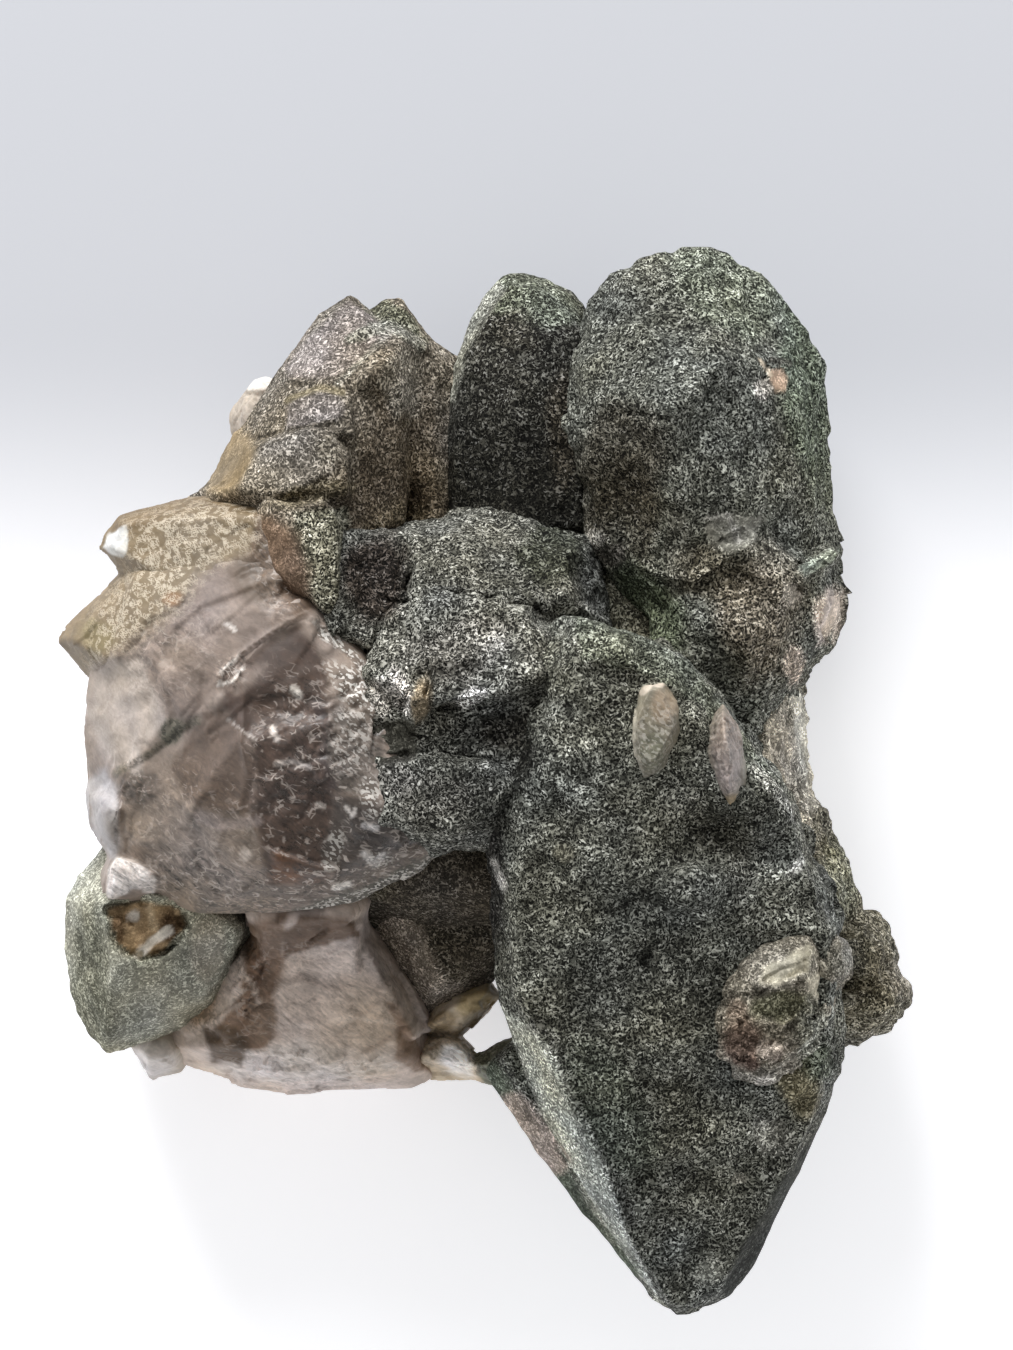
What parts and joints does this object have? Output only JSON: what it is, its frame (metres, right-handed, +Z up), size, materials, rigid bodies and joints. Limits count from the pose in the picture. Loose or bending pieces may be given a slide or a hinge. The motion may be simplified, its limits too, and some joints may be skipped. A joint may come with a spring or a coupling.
{
  "type": "chlorite quartz crystal cluster",
  "caption": "Cluster of intergrown quartz crystals dusted with grey-green chlorite, with a broken clear smoky side, lying on a flat cut back.",
  "frame": {"origin": "middle of the bounding box's underside, in the plane of the flat cut that the cluster rests on", "axes": "+Z up off the cut towards the pictured front, +Y along the cluster's length away from the great crystal's point, +X to the right as pictured"},
  "size_m": [0.0732, 0.0912, 0.0414],
  "materials": {
    "chlorite_crust": "matte",
    "bare_quartz": "gloss"
  },
  "bodies": {
    "root": {"quartz_cluster": "chlorite_crust"}
  },
  "joints": []
}
